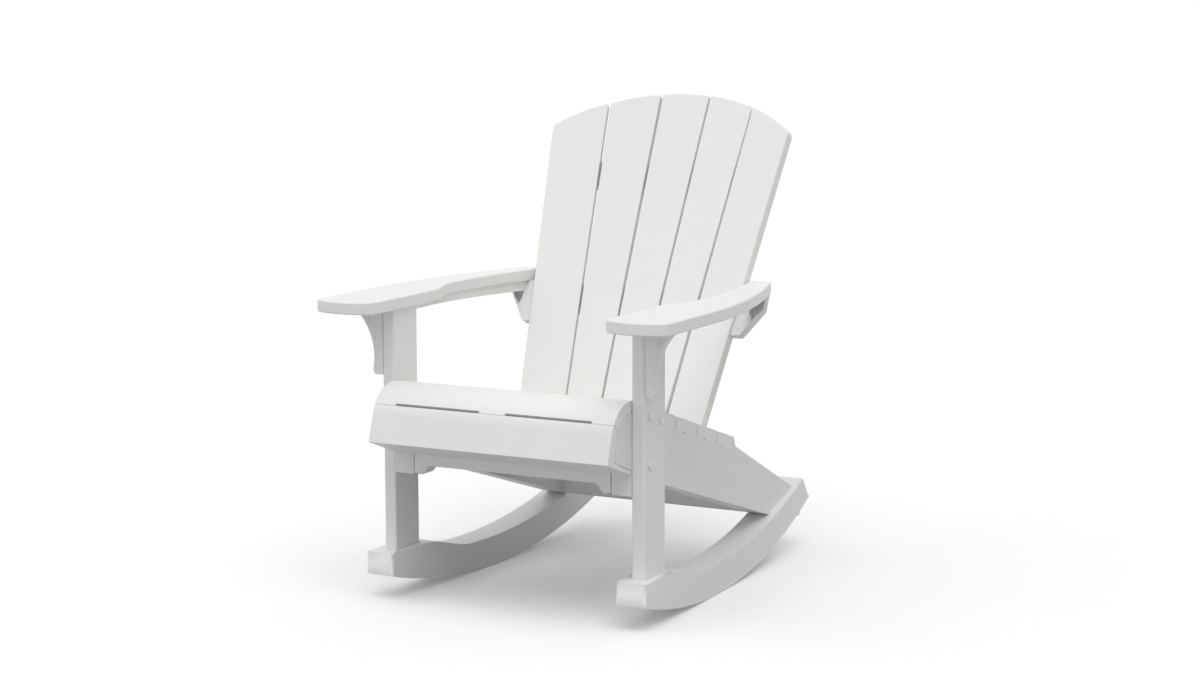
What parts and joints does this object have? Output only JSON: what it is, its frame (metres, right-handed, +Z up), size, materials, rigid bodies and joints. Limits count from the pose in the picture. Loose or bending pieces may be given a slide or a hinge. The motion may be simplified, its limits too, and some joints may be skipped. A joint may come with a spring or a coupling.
{
  "type": "rocking adirondack chair",
  "caption": "Slatted outdoor rocking chair with a fanned, leaning back, a sloping seat, wide flat armrests and curved runners.",
  "frame": {"origin": "on the floor, at the middle of the chair's footprint", "axes": "+Z up, the sitter faces -Y, +X to the right of someone who looks at the chair's front; symmetric about the YZ plane"},
  "size_m": [0.76, 0.9196, 0.958],
  "materials": {
    "board_resin": "white moulded resin boards, satin",
    "panel_resin": "white moulded resin with a faint lengthwise wood grain",
    "caps": "smooth white screw covers",
    "fasteners": null
  },
  "bodies": {
    "root": {"arm_cross_rail": "board_resin", "arm_side_rail_left": "board_resin", "arm_side_rail_right": "board_resin", "armrest_left": "board_resin", "armrest_right": "board_resin", "armrest_screws": "fasteners", "back_screws_arm": "fasteners", "back_screws_lower": "fasteners", "back_screws_upper": "fasteners", "back_slat_1": "board_resin", "back_slat_2": "board_resin", "back_slat_3": "board_resin", "back_slat_4": "board_resin", "back_slat_5": "board_resin", "bracket_plugs": "caps", "bracket_screws": "fasteners", "front_apron": "board_resin", "front_leg_left": "board_resin", "front_leg_right": "board_resin", "leg_bolt_caps": "caps", "leg_bolts": "fasteners", "leg_bracket_left": "board_resin", "leg_bracket_right": "board_resin", "lower_back_rail": "board_resin", "rear_stretcher": "board_resin", "rocker_bolts": "fasteners", "rocker_left": "board_resin", "rocker_right": "board_resin", "seat_fascia": "board_resin", "seat_nose_board": "board_resin", "seat_slat_1": "board_resin", "seat_slat_2": "board_resin", "seat_slat_3": "board_resin", "seat_slat_4": "board_resin", "seat_slat_5": "board_resin", "side_panel_left": "panel_resin", "side_panel_right": "panel_resin", "upper_back_rail": "board_resin"}
  },
  "joints": []
}
